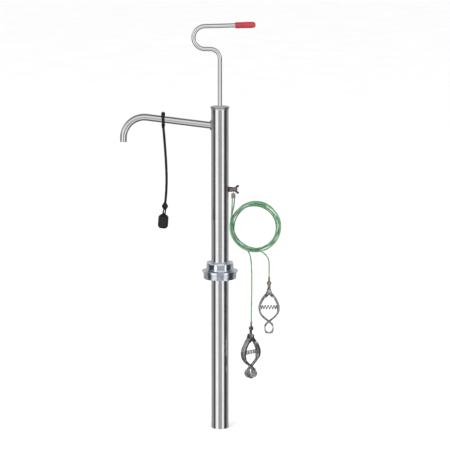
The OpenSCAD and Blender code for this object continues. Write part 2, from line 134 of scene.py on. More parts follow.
def grid_faces(rows, columns, close_rows=False, close_columns=False):
    """Quads between the points of a grid, given row by row."""
    faces = []
    for i in range(rows if close_rows else rows - 1):
        for k in range(columns if close_columns else columns - 1):
            j = (i + 1) % rows
            m = (k + 1) % columns
            faces.append((i * columns + k, i * columns + m, j * columns + m, j * columns + k))
    return faces


def rounded(corners, steps=4):
    """A closed outline from corners (x, y, reach): each is cut back by reach and rounded."""
    outline = []
    for i, (x, y, reach) in enumerate(corners):
        here = Vector((x, y))
        if reach == 0:
            outline.append(here)
            continue
        start = here + (Vector(corners[i - 1][:2]) - here).normalized() * reach
        end = here + (Vector(corners[(i + 1) % len(corners)][:2]) - here).normalized() * reach
        for s in range(steps + 1):
            t = s / steps
            outline.append((1 - t) ** 2 * start + 2 * t * (1 - t) * here + t * t * end)
    return outline


def lathe(name, outline, steps=96, sharp=38):
    """A closed outline of (radius, height) in millimetres, or one made for each angle, turned about Z."""
    corners = []
    for k in range(steps):
        a = 2 * math.pi * k / steps
        section = outline(a) if callable(outline) else outline
        corners += [Vector((r * math.cos(a), r * math.sin(a), z)) * MM for r, z in section]
    return add_mesh(name, corners, grid_faces(steps, len(section), True, True), sharp)


def thread(radius, depth, pitch, low, high):
    """The side of a screw thread for the lathe, its crests flat: it runs out at both ends."""
    count = round(8 * (high - low) / pitch)

    def side(angle):
        points = []
        for k in range(count + 1):
            z = low + (high - low) * k / count
            phase = (z / pitch - angle / (2 * math.pi)) % 1
            crest = min(1, max(0, 3.2 * abs(2 * phase - 1) - 0.3))
            end = min(1, 3 * (z - low) / pitch, 3 * (high - z) / pitch)
            points.append((radius - depth * (1 - crest * end), z))
        return points

    return side


def flats(corner_r, sides, low, high, chamfer, bulge=0.0, cut=0.0, slope=1.8):
    """The side of a nut for the lathe: flats that swell by bulge, corners turned down by cut."""
    half = math.pi / sides
    rows = 16

    def side(angle):
        off = (angle % (2 * half)) / half - 1
        flat = corner_r * math.cos(half) / math.cos(off * half)
        points = []
        for k in range(rows + 1):
            level = -math.cos(math.pi * k / rows)
            z = (low + high) / 2 + level * (high - low) / 2
            swell = bulge * (1 - off * off) * (1 - level**4)
            rim = corner_r + 0.1 - chamfer + slope * min(z - low, high - z)
            points.append((min(flat + swell, rim, corner_r - cut), z))
        return points

    return side


def prism(name, outline, low, high, bevel, holes=()):
    """A flat outline in XY, in millimetres, raised from low to high along Z, its rims bevelled."""
    mesh = bpy.data.meshes.new(name)
    work = bmesh.new()
    rim = [work.verts.new((x * MM, y * MM, low * MM)) for x, y in outline]
    edges = [work.edges.new((rim[i - 1], rim[i])) for i in range(len(rim))]
    for x, y, r in holes:
        ring = [work.verts.new(((x + u) * MM, (y + v) * MM, low * MM)) for u, v in circle(r, 24)]
        edges += [work.edges.new((ring[i - 1], ring[i])) for i in range(len(ring))]
    bmesh.ops.triangle_fill(work, use_beauty=True, edges=edges)
    made = bmesh.ops.extrude_face_region(work, geom=work.faces[:])
    lifted = [v for v in made["geom"] if isinstance(v, bmesh.types.BMVert)]
    bmesh.ops.translate(work, verts=lifted, vec=(0, 0, (high - low) * MM))
    bmesh.ops.recalc_face_normals(work, faces=work.faces)
    if bevel:
        rims = [e for e in work.edges if e.calc_face_angle(0) > 1]
        rims = [e for e in rims if abs(e.verts[0].co.z - e.verts[1].co.z) < 1e-7]
        bmesh.ops.bevel(work, geom=rims, offset=bevel * MM, segments=2, affect="EDGES", clamp_overlap=True)
    work.to_mesh(mesh)
    work.free()
    mesh.shade_smooth()
    mesh.set_sharp_from_angle(angle=math.radians(38))
    piece = bpy.data.objects.new(name, mesh)
    SCENE.collection.objects.link(piece)
    return piece


def smooth_line(points, steps):
    """The Catmull-Rom curve through given points, steps to each of them."""
    points = np.asarray(points, float)
    line = []
    for i in range(len(points) - 1):
        a, b = points[max(i - 1, 0)], points[i]
        c, d = points[i + 1], points[min(i + 2, len(points) - 1)]
        for s in range(steps):
            t = s / steps
            line.append(
                0.5 * (2 * b + (c - a) * t + (2 * a - 5 * b + 4 * c - d) * t**2
                       + (3 * b - a - 3 * c + d) * t**3)
            )
    line.append(points[-1])
    return np.array(line)


def carried_frames(line, side):
    """(ahead, across, up) at each point of a line, carried along it without twisting."""
    ahead = np.gradient(line, axis=0)
    ahead /= np.linalg.norm(ahead, axis=1)[:, None]
    across = np.cross(side, ahead[0])
    frames = []
    for direction in ahead:
        across = across - direction * (across @ direction)
        across /= np.linalg.norm(across)
        frames.append((direction, across, np.cross(direction, across)))
    return frames


def sweep(name, line, section, side=(0, 1, 0), closed=False, sharp=38):
    """Sweeps section(i), a ring of (across, up) offsets, along a line."""
    line = np.asarray(line, float)
    corners = []
    for i, (_, across, up) in enumerate(carried_frames(line, side)):
        corners += [line[i] + across * u + up * v for u, v in section(i)]
    count = len(section(0))
    faces = grid_faces(len(line), count, closed, True)
    if not closed:
        last = (len(line) - 1) * count
        faces += [tuple(range(count)), tuple(range(last, last + count))]
    return add_mesh(name, corners, faces, sharp)


def arc(x, y, radius, start, end, steps):
    """Points on an arc from start to end, in degrees."""
    angles = [math.radians(start + (end - start) * k / steps) for k in range(steps + 1)]
    return [(x + radius * math.cos(a), y + radius * math.sin(a)) for a in angles]


def circle(radius, sides=12):
    return arc(0, 0, radius, 0, 360, sides)[:-1]


def move(piece, matrix):
    piece.data.transform(matrix)
    return piece


def shift(x, y, z):
    return Matrix.Translation(Vector((x, y, z)) * MM)


def turn(degrees, axis):
    return Matrix.Rotation(math.radians(degrees), 4, axis)


def join(name, pieces):
    """Several meshes made one piece, with each one's own materials."""
    first = pieces[0]
    if len(pieces) > 1:
        with bpy.context.temp_override(
            active_object=first, selected_editable_objects=pieces, selected_objects=pieces
        ):
            bpy.ops.object.join()
    first.name = name
    first.data.name = name
    return first


# ---------- Materials ----------


class Look:
    """A material under construction: one Principled shader fed by procedural nodes."""

    def __init__(self, name, metallic=0.0, roughness=0.5, **sockets):
        self.material = bpy.data.materials.new(name)
        self.material.use_nodes = True
        self.tree = self.material.node_tree
        self.shader = self.tree.nodes["Principled BSDF"]
        self.shader.inputs["Metallic"].default_value = metallic
        self.shader.inputs["Roughness"].default_value = roughness
        for socket, value in sockets.items():
            self.shader.inputs[socket.replace("_", " ")].default_value = value
        self.place = self.tree.nodes.new("ShaderNodeTexCoord").outputs["Object"]

    def node(self, kind, **settings):
        made = self.tree.nodes.new(kind)
        for key, value in settings.items():
            setattr(made, key, value)
        return made

    def link(self, out, into):
        self.tree.links.new(out, into)

    def noise(self, size, stretch=(1, 1, 1), detail=4.0, rough=0.6):
        """Noise whose features are about size metres, longer where stretch is above 1."""
        mapping = self.node("ShaderNodeMapping")
        mapping.inputs["Scale"].default_value = [1 / (size * s) for s in stretch]
        self.link(self.place, mapping.inputs["Vector"])
        noise = self.node("ShaderNodeTexNoise")
        noise.inputs["Scale"].default_value = 1.0
        noise.inputs["Detail"].default_value = detail
        noise.inputs["Roughness"].default_value = rough
        self.link(mapping.outputs["Vector"], noise.inputs["Vector"])
        return noise.outputs["Fac"]

    def ramp(self, value, *stops):
        """Colours or grey values by position: stops are (position, value)."""
        ramp = self.node("ShaderNodeValToRGB")
        elements = ramp.color_ramp.elements
        while len(elements) < len(stops):
            elements.new(0.5)
        for element, (position, colour) in zip(elements, stops):
            element.position = position
            element.color = (*colour, 1) if hasattr(colour, "__len__") else (colour,) * 3 + (1,)
        self.link(value, ramp.inputs["Fac"])
        return ramp.outputs["Color"]

    def mixed(self, share, first, second, blend="MIX"):
        mix = self.node("ShaderNodeMix", data_type="RGBA", blend_type=blend)
        for socket, value in ((mix.inputs["Factor"], share), (mix.inputs[6], first), (mix.inputs[7], second)):
            if isinstance(value, (float, int)):
                socket.default_value = value
            elif isinstance(value, tuple):
                socket.default_value = (*value, 1)
            else:
                self.link(value, socket)
        return mix.outputs[2]

    def colour(self, value):
        self.link(value, self.shader.inputs["Base Color"])

    def roughness(self, value, low, high):
        """Roughness from low to high as value goes from 0 to 1."""
        span = self.node("ShaderNodeMapRange")
        span.inputs["To Min"].default_value = low
        span.inputs["To Max"].default_value = high
        self.link(value, span.inputs["Value"])
        self.link(span.outputs["Result"], self.shader.inputs["Roughness"])

    def bump(self, *heights):
        """Adds up bumps: each is (value, height in metres)."""
        below = None
        for value, height in heights:
            bump = self.node("ShaderNodeBump")
            bump.inputs["Strength"].default_value = 1.0
            bump.inputs["Distance"].default_value = height
            self.link(value, bump.inputs["Height"])
            if below:
                self.link(below, bump.inputs["Normal"])
            below = bump.outputs["Normal"]
        self.link(below, self.shader.inputs["Normal"])

    def painted_crevice_shade(self, colour, painted_shade_colour, distance=1.5 * MM, amount=0.6):
        """Painted shade: darkens a colour towards a shade colour where the surface is sheltered."""
        shelter = self.node("ShaderNodeAmbientOcclusion", samples=8)
        shelter.inputs["Distance"].default_value = distance
        open_share = self.ramp(shelter.outputs["AO"], (0.25, amount), (0.8, 0.0))
        return self.mixed(open_share, colour, painted_shade_colour)


def drawn_steel(name, tone, grain, rough, stretch):
    """Stainless with fine lines along its length and soft stains."""
    look = Look(name, metallic=1.0, roughness=rough)
    lines = look.noise(grain, stretch, detail=3.0, rough=0.7)
    cloud = look.noise(25 * MM, detail=3.0)
    bright = look.ramp(lines, (0.3, tuple(c * 0.9 for c in tone)), (0.7, tone))
    soft = look.ramp(cloud, (0.35, 0.94), (0.7, 1.0))
    look.colour(look.mixed(1.0, bright, soft, "MULTIPLY"))
    look.roughness(lines, rough * 0.75, rough * 1.35)
    look.bump((lines, 0.004 * MM))
    return look.material


def plated(name, tone, tint, rough, ripple=0.02 * MM):
    """Bright plate over a pressed or cast part: tone varies to tint, and painted shade darkens the corners.
    """
    look = Look(name, metallic=1.0, roughness=rough)
    cloud = look.noise(4 * MM, detail=5.0)
    fine = look.noise(0.35 * MM, detail=3.0)
    base = look.ramp(cloud, (0.35, tint), (0.65, tone))
    # Painted shade: the colour darkens to a quarter of the tone in sheltered corners.
    look.colour(look.painted_crevice_shade(base, tuple(c * 0.25 for c in tone)))
    look.roughness(cloud, rough * 0.7, rough * 1.5)
    look.bump((cloud, ripple), (fine, ripple * 0.15))
    return look.material


def turned_steel(name, tone, rough):
    """Machined steel with fine rings about the Z axis."""
    look = Look(name, metallic=1.0, roughness=rough)
    rings = look.noise(0.25 * MM, (40, 40, 1), detail=2.0)
    cloud = look.noise(6 * MM, detail=4.0)
    base = look.ramp(cloud, (0.3, tuple(c * 0.85 for c in tone)), (0.7, tone))
    # Painted shade: the colour darkens to three tenths of the tone in sheltered corners.
    look.colour(look.painted_crevice_shade(base, tuple(c * 0.3 for c in tone)))
    look.roughness(rings, rough * 0.8, rough * 1.3)
    look.bump((rings, 0.01 * MM))
    return look.material


def moulded_rubber(name, tone, dust):
    """Black moulded rubber: a matt skin with a little dust and a fine orange peel."""
    look = Look(name, roughness=0.5, Specular_IOR_Level=0.3)
    cloud = look.noise(7 * MM, detail=6.0, rough=0.7)
    peel = look.noise(0.5 * MM, detail=2.0)
    look.colour(look.ramp(cloud, (0.35, tone), (0.75, dust)))
    look.roughness(cloud, 0.3, 0.5)
    look.bump((peel, 0.03 * MM), (cloud, 0.05 * MM))
    return look.material


def dipped_vinyl(name, tone, deep):
    """Thick glossy vinyl, a little darker where it pooled, with soft waves in its skin."""
    look = Look(name, roughness=0.28, Coat_Weight=1.0, Coat_Roughness=0.1)
    pool = look.noise(9 * MM, detail=3.0)
    waves = look.noise(2.2 * MM, (2.5, 1, 1), detail=2.0)
    look.colour(look.ramp(pool, (0.35, deep), (0.65, tone)))
    look.roughness(pool, 0.22, 0.36)
    look.bump((waves, 0.06 * MM))
    return look.material


def coated_wire(name, tone, shade):
    """Clear green vinyl over stranded steel, with painted shade where the strands of a coil lie together."""
    look = Look(name, metallic=0.1, roughness=0.3, Coat_Weight=0.6, Coat_Roughness=0.15)
    strands = look.noise(0.5 * MM, (1, 1, 2), detail=2.0)
    cloud = look.noise(9 * MM, detail=3.0)
    base = look.ramp(strands, (0.35, shade), (0.6, tone))
    pale = tuple(c * 1.4 + 0.06 for c in tone)
    mottled = look.mixed(look.ramp(cloud, (0.45, 0.0), (0.7, 0.8)), base, pale)
    # Painted shade: nearly black where the coil's strands lie close together.
    look.colour(look.painted_crevice_shade(mottled, tuple(c * 0.12 for c in shade), 4 * MM, 0.95))
    look.roughness(cloud, 0.22, 0.36)
    look.bump((strands, 0.05 * MM))
    return look.material


def pale_plastic(name, tone):
    """Turned PTFE, slightly waxy, with fine tool marks."""
    look = Look(name, roughness=0.42, Subsurface_Weight=0.08)
    look.shader.inputs["Subsurface Radius"].default_value = (MM, MM, MM)
    marks = look.noise(0.3 * MM, (30, 30, 1), detail=2.0)
    stain = look.noise(5 * MM, detail=4.0)
    look.colour(look.ramp(stain, (0.3, tuple(c * 0.88 for c in tone)), (0.7, tone)))
    look.roughness(stain, 0.35, 0.5)
    look.bump((marks, 0.01 * MM))
    return look.material


def pressed_fibre(name, tone):
    """Vulcanised fibre: a dull red-brown board with a fine mottle."""
    look = Look(name, roughness=0.62)
    mottle = look.noise(0.8 * MM, detail=6.0, rough=0.75)
    look.colour(look.ramp(mottle, (0.3, tuple(c * 0.55 for c in tone)), (0.7, tone)))
    look.roughness(mottle, 0.5, 0.75)
    look.bump((mottle, 0.05 * MM))
    return look.material


LOOKS = {
    "tube": drawn_steel("drawn_tube", (0.72, 0.72, 0.735), 0.12 * MM, 0.16, (1, 1, 600)),
    "rod": drawn_steel("polished_rod", (0.86, 0.86, 0.87), 0.5 * MM, 0.08, (1, 1, 12)),
    "spout": drawn_steel("polished_spout", (0.75, 0.75, 0.76), 0.3 * MM, 0.17, (40, 1, 1)),
    "weld": plated("welded_steel", (0.50, 0.50, 0.50), (0.34, 0.34, 0.34), 0.3),
    "cap": turned_steel("turned_cap", (0.62, 0.62, 0.63), 0.24),
    "valve": turned_steel("turned_steel", (0.56, 0.56, 0.57), 0.3),
    "zinc": plated("bright_zinc", (0.84, 0.88, 0.94), (0.66, 0.71, 0.80), 0.11),
    "stud": plated("zinc_fastener", (0.34, 0.34, 0.345), (0.19, 0.185, 0.18), 0.28),
    "clamp_1": plated("bright_nickel", (0.80, 0.80, 0.80), (0.20, 0.20, 0.20), 0.13, 0.22 * MM),
    "clamp_2": plated("dull_nickel", (0.80, 0.79, 0.81), (0.34, 0.34, 0.36), 0.22, 0.12 * MM),
    "spring": plated("spring_steel", (0.50, 0.50, 0.50), (0.26, 0.26, 0.26), 0.22),
    "copper": plated("dull_copper", (0.42, 0.33, 0.255), (0.27, 0.225, 0.17), 0.34),
    "grip": dipped_vinyl("red_vinyl", (0.46, 0.014, 0.028), (0.27, 0.006, 0.012)),
    "rubber": moulded_rubber("black_rubber", (0.0015, 0.0015, 0.0015), (0.012, 0.012, 0.012)),
    "packing": moulded_rubber("nitrile", (0.02, 0.02, 0.02), (0.04, 0.04, 0.04)),
    "wire": coated_wire("green_wire", (0.125, 0.30, 0.155), (0.04, 0.13, 0.06)),
    "ptfe": pale_plastic("ptfe", (0.82, 0.81, 0.76)),
    "fibre": pressed_fibre("red_fibre", (0.16, 0.045, 0.03)),
}


def dress(piece, look, body=None, replaces=()):
    """Gives a piece its look and, for a new piece, its body and the nodes it stands for."""
    piece.data.materials.clear()
    piece.data.materials.append(LOOKS[look])
    if body:
        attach(piece, body)
    if replaces:
        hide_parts(*replaces)
    return piece


def keep(look, *nodes):
    """Shows CAD nodes as they are, smooth, with a better material."""
    for name in nodes:
        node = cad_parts[name]
        dress(node, look)
        node.data.shade_smooth()
        node.data.set_sharp_from_angle(angle=math.radians(30))


keep("tube", "pump_tube")
keep("rod", "plunger_rod")
keep("spout", "spout")
keep("valve", "foot_valve_body", "foot_valve_pin", "piston_body", "piston_nut", "rod_collar")
keep("ptfe", "rod_bushing", "foot_valve_ball", "piston_seal", "piston_disc")
keep("packing", "gland_packing")


# ---------- Bung adapter, gland nut and top cap ----------

BUNG_THREAD = thread(radius=30.15, depth=0.8, pitch=2.2, low=-10.5, high=-0.5)
GLAND_FLATS = flats(corner_r=25.8, sides=8, low=4.5, high=19.2, chamfer=1.5, bulge=0.75, cut=0.6)
GLAND_TURN = 27.5


def adapter_outline(angle):
    return [
        (15.94, -10.2), (16.3, -10.5), (28.4, -10.5), *BUNG_THREAD(angle), (30.9, -0.3), (31.3, 0),
        (31.3, 2.3), (32.6, 2.6), (33, 3), (33, 4), (32.6, 4.4), (19.6, 4.4), (19.4, 4.6), (19.4, 15.6),
        (19, 16), (18.6, 16), (18.4, 15.8), (18.4, 9), (15.94, 9),
    ]


def gland_outline(angle):
    return [
        (19.5, 4.5), *GLAND_FLATS(angle), (17, 19.2), (16.25, 18.6), (16.25, 14.1), (18.3, 14.1),
        (18.3, 17), (19.5, 17),
    ]


dress(lathe("adapter_body", adapter_outline, 180), "zinc", "adapter", ["bung_adapter"])
gland_nut = move(lathe("gland_nut_body", gland_outline, 160), turn(GLAND_TURN, "Z"))
dress(gland_nut, "zinc", "gland_nut", ["gland_nut"])

TOP_CAP = [
    (6, 305.4), (6.5, 306), (8.6, 306), (8.9, 305.5), (10.2, 305.5), (10.5, 306), (17.1, 306), (17.5, 305.6),
    (17.5, 304.8), (17.1, 304.3), (16.7, 302.8), (16.35, 301), (14.2, 301), (14.2, 292.4), (13.8, 292),
    (6, 292),
]
dress(lathe("cap_body", TOP_CAP, 128), "cap", "tube", ["top_cap"])


# ---------- Spout weld and handle grip ----------


def make_weld():
    """A rippled bead along the seam where the spout meets the tube."""
    out = Vector((-math.cos(SPOUT_RISE), 0, math.sin(SPOUT_RISE)))
    across = Vector((0, 1, 0))
    up = across.cross(out)
    steps = 168
    inset = 0.5
    line = []
    for k in range(steps):
        a = 2 * math.pi * k / steps
        rim = Vector((-TUBE_R, 0, SPOUT_Z))
        rim += (across * math.cos(a) + up * math.sin(a)) * (SPOUT_R + inset)
        wall_x = -math.sqrt((TUBE_R + inset) ** 2 - rim.y**2)
        line.append((rim + out * (wall_x - rim.x) / out.x) * MM)
    ripples = 28

    def section(i):
        return circle((1.75 + 0.2 * math.cos(2 * math.pi * ripples * i / steps)) * MM, 12)

    dress(sweep("weld_bead", line, section, closed=True), "weld", "tube", ["spout_weld"])


GRIP = [
    (ROD_R, 0), (4.9, 0), (5.35, 0.4), (5.55, 1.3), (5.5, 4), (5.6, 12), (5.75, 23), (5.7, 30), (5.45, 32.8),
    (4.7, 35), (3.3, 36.4), (1.6, 36.95), (0, 37), (0, 34), (ROD_R, 34),
]


def make_grip():
    grip = lathe("grip_sleeve", GRIP, 64, sharp=60)
    move(grip, shift(GRIP_X - CROOK.x, 0, CROOK_R) @ turn(90, "Y"))
    move(grip, shift(*CROOK) @ Matrix.Rotation(-BAR_RISE, 4, "Y"))
    dress(grip, "grip", "plunger", ["handle_grip"])


make_weld()
make_grip()


# ---------- Grounding stud ----------

# Where each part starts on the stud, from the pump's axis
STUD_STACK = {"washer": 15.885, "nut": 17.885, "lock": 22.385, "tongues": 23.585, "wing": 25.235}
TONGUE_T = 0.8
STUD_THREAD = thread(STUD_R, depth=0.4, pitch=0.8, low=17.9, high=31.6)
STUD_NUT = flats(corner_r=4.6, sides=6, low=0, high=4.5, chamfer=0.5)
# Turns a plate that was drawn in XY so that its outline lies in YZ
FACING_X = Matrix(((0, 0, 1, 0), (1, 0, 0, 0), (0, 1, 0, 0), (0, 0, 0, 1)))


def on_stud(x):
    return shift(x, 0, STUD_Z) @ turn(90, "Y")


def stud_piece(name, piece, look, replaced, x, body="tube"):
    piece.name = name
    return dress(move(piece, on_stud(x)), look, body, [replaced])


def washer_outline(inner, outer, t):
    edge = 0.2
    return [(inner, 0), (outer - edge, 0), (outer, edge), (outer, t - edge), (outer - edge, t), (inner, t)]


def stud_outline(angle):
    return [(0, 15.5), (STUD_R, 15.5), (STUD_R, 17.7), *STUD_THREAD(angle), (1.6, 32), (0, 32)]


def stud_nut_outline(angle):
    return [(2.45, 0.3), (2.8, 0), *STUD_NUT(angle), (2.8, 4.5), (2.45, 4.2)]


def split_washer():
    """One turn of a square bar, its ends a little apart."""
    line = []
    for k in range(61):
        a = math.radians(8 + 344 * k / 60)
        line.append(Vector((3.35 * math.cos(a), 3.35 * math.sin(a), 0.48 + 0.24 * k / 60)) * MM)
    bar = [(-0.9, -0.45), (0.9, -0.45), (0.9, 0.45), (-0.9, 0.45)]
    return sweep("lock", line, lambda i: [(u * MM, v * MM) for v, u in bar], side=(0, 0, 1))


WING = rounded([
    (2.6, 0.5, 0.3), (6.5, 3.2, 1.5), (10, 5.4, 1.6), (10.6, 8.6, 1.3), (8.4, 10, 1.3), (6.1, 8.2, 1.6),
    (3.4, 4, 0.5), (2.6, 3.7, 0.2),
])
WING_TURN = 35
WING_HUB = [
    (2.47, 0.2), (2.7, 0), (3.9, 0), (4.2, 0.3), (4.05, 2.2), (3.6, 3.7), (3.2, 4), (2.8, 4), (2.47, 3.8),
]


def make_wing_nut():
    parts = [lathe("hub", WING_HUB, 48)]
    for side in (0, 180):
        wing = prism("wing", WING, -0.75, 0.75, 0.3)
        parts.append(move(wing, turn(side, "Z") @ turn(90, "X")))
    nut = move(join("wings", parts), turn(WING_TURN, "Z"))
    stud_piece("wing_nut_body", nut, "stud", "wing_nut", STUD_STACK["wing"], "wing_nut")


TERMINAL_BARREL = [
    (1.27, 138), (1.8, 138), (1.95, 138.2), (1.95, 139.6), (1.7, 140), (1.7, 141), (1.95, 141.4),
    (1.95, 142.9), (1.7, 143.3), (1.7, 144.3), (1.95, 144.7), (1.95, 146.2), (1.6, 146.5), (0, 146.5),
    (0, 144), (1.27, 144),
]
TERMINAL_X = (22.385, 26.385)
TERMINAL_NECK = [(-1.9, 145.4), (1.9, 145.4), (2.1, 148), (3.1, 151), (-3.1, 151), (-2.1, 148)]


def make_terminal(which):
    face = STUD_STACK["tongues"] + which * TONGUE_T
    eye = move(lathe("eye", washer_outline(STUD_R + 0.2, 4.5, TONGUE_T), 48), on_stud(face))
    neck = prism("neck", TERMINAL_NECK, 0, TONGUE_T, 0.15)
    move(neck, shift(face, 0, 0) @ FACING_X)
    barrel = move(lathe("barrel", TERMINAL_BARREL, 32), shift(TERMINAL_X[which], 0, 0))
    terminal = join(f"terminal_{which + 1}", [eye, neck, barrel])
    dress(terminal, "copper", "tube", [f"ring_terminal_{which + 1}"])


stud_piece("stud_screw", lathe("screw", stud_outline, 40), "stud", "ground_stud", 0)
stud_piece("fibre_washer", lathe("ring", washer_outline(2.45, 5, 2), 64), "fibre",
           "stud_washer", STUD_STACK["washer"])
stud_piece("hex_nut", lathe("nut", stud_nut_outline, 96), "stud", "stud_nut", STUD_STACK["nut"])
stud_piece("split_washer", split_washer(), "stud", "lock_washer", STUD_STACK["lock"])
make_wing_nut()
for which in range(2):
    make_terminal(which)


# ---------- Clamps ----------

WIRE_END = (Vector((90, -1.4, -8)), Vector((57.5, 1.4, -93)))
LUG_HOLE_Z = -12
PIVOT_Z = -26
LUG_T = 1.2
LINK_T = 1.5
STRIP = 1.2
# The strips' widths: the left arm, the right arm at its ears and at its neck, and half the jaw's lip
ARM_W = 11
EARS_W = 8.4
NECK_W = 5.2
LIP_HALF = 3
# The round jaw plate, and how far the strips' edges are folded in at the jaw and above it
JAW_R = 8
JAW_Z = -71
NECK_END_Z = -70
JAW_FOLD = 1.5
ARM_FOLD = 3
# How far the ears are off the middle: the left arm's, which go outside, and the right arm's
EARS_Y = (5, 3.7)
# The rails that pass the right arm: half their width, their fold and how far each is off the middle
RAIL_HALF = 1.15
RAIL_FOLD = 1.2
RAIL_Y = 4.3
SPRING_Z = -31
SPRING_HALF = 16.6
SPRING_TURNS = 7
SPRING_R = 3.3
SPRING_WIRE_R = 0.85
# Centreline of the left arm from the pivot to the jaw's lip, as x and z from the pivot
ARM_LINE = [
    [-5.5, -5.5], [-9, -9.5], [-13, -15], [-16.6, -22], [-18.6, -28], [-19, -33], [-18, -39], [-15, -45],
    [-10, -50.5], [-4, -55.5], [1.5, -60], [5, -63.5], [6.6, -67.5], [6.8, -72], [5.6, -75.8], [3.2, -77.8],
    [0.2, -78.2],
]
# Turns a plate that was drawn in XY so that it stands in XZ, its thickness from y = 0 to -t
UPRIGHT = turn(90, "X")
EAR = [(-3.4, 3.4, 2.6), (3.4, 3.4, 2.6), (4.1, -2.6, 2), (-5, -12.6, 1), (-9.6, -9.8, 0.5), (-5.4, -4.6, 2)]
BOSS_X = 18.9
BOSS = [(0, 0), (3.1, 0), (2.9, 1.5), (2.3, 2.2), (0, 2.4)]
LUG_BARREL = [
    (1.27, 0.1), (1.8, 0.1), (2, -0.2), (2, -1.7), (1.72, -2.1), (1.72, -3), (2, -3.4), (2, -4.7),
    (1.72, -5.1), (1.72, -6), (2, -6.4), (2, -7.7), (1.6, -8), (0, -8), (0, -6.5), (1.27, -6.5),
]
LUG_TONGUE = [(-1.8, -7), *arc(0, LUG_HOLE_Z, 4.4, 115, 425, 40), (1.8, -7)]
LINK = [*arc(0, LUG_HOLE_Z, 3.8, -42, 222, 30), *arc(0, PIVOT_Z, 3.8, 138, 402, 30)]
SCREW_NUT = flats(corner_r=3.3, sides=6, low=0, high=2.4, chamfer=0.4)
SCREW_END = thread(radius=1.5, depth=0.28, pitch=0.5, low=2.0, high=3.5)
PIN = [
    (0, -6.5), (1.4, -6.4), (2.3, -6.1), (2.6, -5.55), (1.5, -5.5), (1.5, 5.5), (2.6, 5.55), (2.3, 6.1),
    (1.4, 6.4), (0, 6.5),
]


def on_wire(which):
    return shift(*WIRE_END[which]) @ Matrix.Rotation(which * LOWER_TURN, 4, "Z")


def at_pivot(which):
    return on_wire(which) @ shift(0, (LUG_T + LINK_T) / 2, PIVOT_Z)


def channel(width, depth):
    """A strip's section, its edges folded inwards by depth."""
    half = width / 2
    face, back, fold = STRIP / 2, -STRIP / 2, -STRIP / 2 - depth
    edge = 0.35
    ring = [
        (face, -half + edge), (face, half - edge), (face - edge, half), (fold, half),
        (fold, half - STRIP), (back, half - STRIP), (back, -half + STRIP), (fold, -half + STRIP),
        (fold, -half), (face - edge, -half),
    ]
    return [(u * MM, v * MM) for u, v in ring]


def eased(value, start, end):
    """0 at start, 1 at end and smooth between."""
    t = min(1, max(0, (value - start) / (end - start)))
    return t * t * (3 - 2 * t)


def jaw_width(z, neck):
    """The width of the round jaw plate where it is wider than the neck."""
    plate_half = math.sqrt(max(JAW_R**2 - (z - JAW_Z) ** 2, LIP_HALF**2))
    return max(neck if z > NECK_END_Z else 0, 2 * plate_half)


def arm_width(z, right):
    if right:
        body = EARS_W + (ARM_W - EARS_W) * eased(z, -9, -14)
        neck = body + (NECK_W - body) * eased(z, -41, -46)
        return jaw_width(z, neck)
    return jaw_width(z, ARM_W)


def arm_depth(z):
    return JAW_FOLD + (ARM_FOLD - JAW_FOLD) * eased(z, -45, -36)


def rail_section(middle):
    """The section of one of the two rails that the left arm narrows to where the right arm passes."""
    half = RAIL_HALF
    face, back, edge = STRIP / 2, -STRIP / 2 - RAIL_FOLD, 0.35
    ring = [
        (face, -half + edge), (face, half - edge), (face - edge, half), (back, half), (back, -half),
        (face - edge, -half),
    ]
    return [(u * MM, (v + middle) * MM) for u, v in ring]


def arm_strip(name, top, bottom, hand, section):
    """The part of an arm's strip between two heights, with section(z) for its cross-section."""
    line = smooth_line([[x * hand, 0, z] for x, z in ARM_LINE], 4)
    part = [point for point in line if bottom <= point[2] <= top]
    return sweep(name, np.array(part) * MM, lambda i: section(part[i][2]), side=(0, hand, 0))


def arm_pieces(right):
    """A bent strip with folded edges, two ears on the pivot and a boss under the spring."""
    hand = -1 if right else 1
    if right:
        whole = arm_strip("strip", 0, -80, hand, lambda z: channel(arm_width(z, True), arm_depth(z)))
        pieces = [whole]
    else:
        pieces = [
            arm_strip("strip", 0, -46, hand, lambda z: channel(ARM_W, arm_depth(z))),
            arm_strip("jaw", -62, -80, hand, lambda z: channel(arm_width(z, False), JAW_FOLD)),
        ]
        for middle in (-RAIL_Y, RAIL_Y):
            rail = arm_strip("rail", -44.5, -64, hand, lambda z: rail_section(middle))
            pieces.append(rail)
    outline = [(x * hand, z) for x, z in rounded(EAR)]
    for y in (-EARS_Y[right], EARS_Y[right]):
        ear = prism("ear", outline, -0.5, 0.5, 0.2)
        pieces.append(move(ear, shift(0, y, 0) @ UPRIGHT))
    boss = move(lathe("boss", BOSS, 32), shift(-BOSS_X * hand, 0, SPRING_Z) @ turn(90 * hand, "Y"))
    return [*pieces, boss]


def spring_line():
    """The spring's turns along X, the end turns closed up."""
    count = 24 * SPRING_TURNS
    line = []
    for i in range(count + 1):
        t = i / count
        a = 2 * math.pi * SPRING_TURNS * t
        along = -SPRING_HALF + 0.6 + (2 * SPRING_HALF - 1.2) * (0.06 * t + 0.94 * eased(t, -0.1, 1.1))
        line.append((along, SPRING_R * math.cos(a), SPRING_R * math.sin(a)))
    return np.array(line) * MM


def screw_pieces():
    """A slotted pan head, a hexagon nut and the thread's end, drawn along Z with the head below."""
    pieces = [lathe("head", [(0, -0.6), (3.3, -0.6), (3.4, -0.8), (3.4, -1.6), (0, -1.6)], 48)]
    half = arc(0, 0, 3.3, 9, 171, 24)
    for side in (0, 180):
        pieces.append(move(prism("pan", half, -2.8, -1.5, 0.35), turn(side, "Z")))
    nut = lathe("nut", lambda a: [(1.4, 0), *SCREW_NUT(a), (1.4, 2.4)], 96)
    pieces.append(move(nut, shift(0, 0, LUG_T / 2 + LINK_T)))
    end = lathe("end", lambda a: [(0, -0.6), (1.5, -0.6), *SCREW_END(a), (1.1, 3.7), (0, 3.7)], 32)
    pieces.append(move(end, shift(0, 0, 1.2)))
    return pieces


